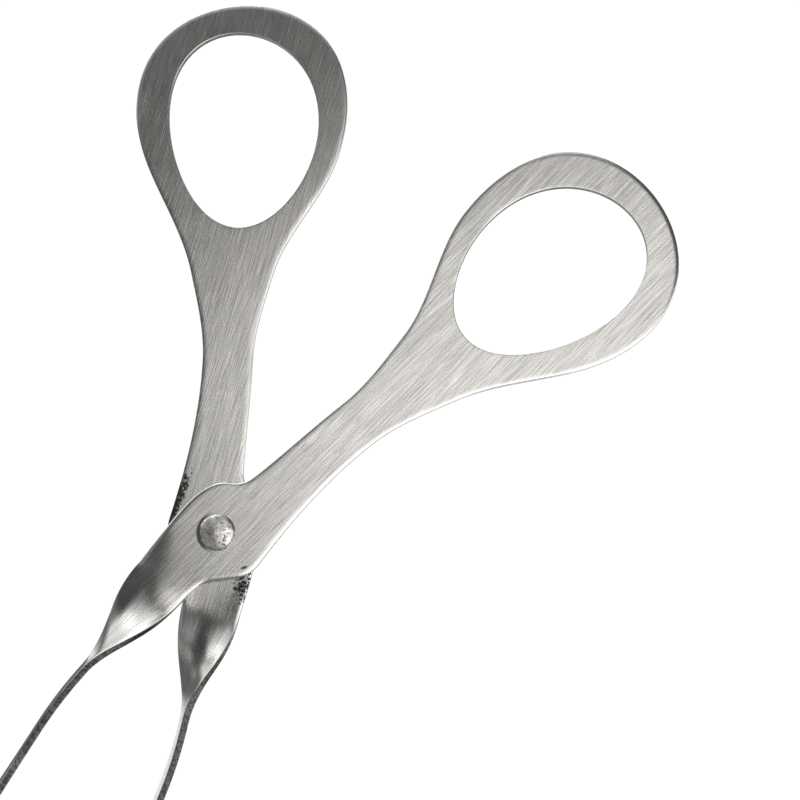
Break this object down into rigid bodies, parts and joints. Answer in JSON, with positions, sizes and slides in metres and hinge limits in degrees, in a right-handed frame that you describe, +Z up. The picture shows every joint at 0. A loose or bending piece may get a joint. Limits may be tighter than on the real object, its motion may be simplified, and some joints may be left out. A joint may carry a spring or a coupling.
{
  "type": "pastry tongs",
  "caption": "Scissor-action serving tongs in brushed sheet steel, with egg-shaped finger loops, twisted shanks and flat round-ended paddles that meet when the handles are squeezed.",
  "frame": {"origin": "under the middle of the open tongs, level with the lowest edge of the paddles", "axes": "+Y along the tongs from the paddles to the finger loops, +Z up along the rivet, so the handles lie level"},
  "size_m": [0.1142, 0.1934, 0.023],
  "materials": {
    "sheet_steel": "brushed along each half's length",
    "rivet_steel": "hammered, satin"
  },
  "bodies": {
    "rear": {"rear_half": "sheet_steel", "pivot_rivet": "rivet_steel"},
    "front": {"front_half": "sheet_steel"}
  },
  "joints": [
    {"name": "pivot", "type": "hinge", "parent": "rear", "child": "front", "pos_m": [0, -0.0012, 0.01151], "axis": [0, 0, 1], "range_deg": [-30, 20]}
  ]
}
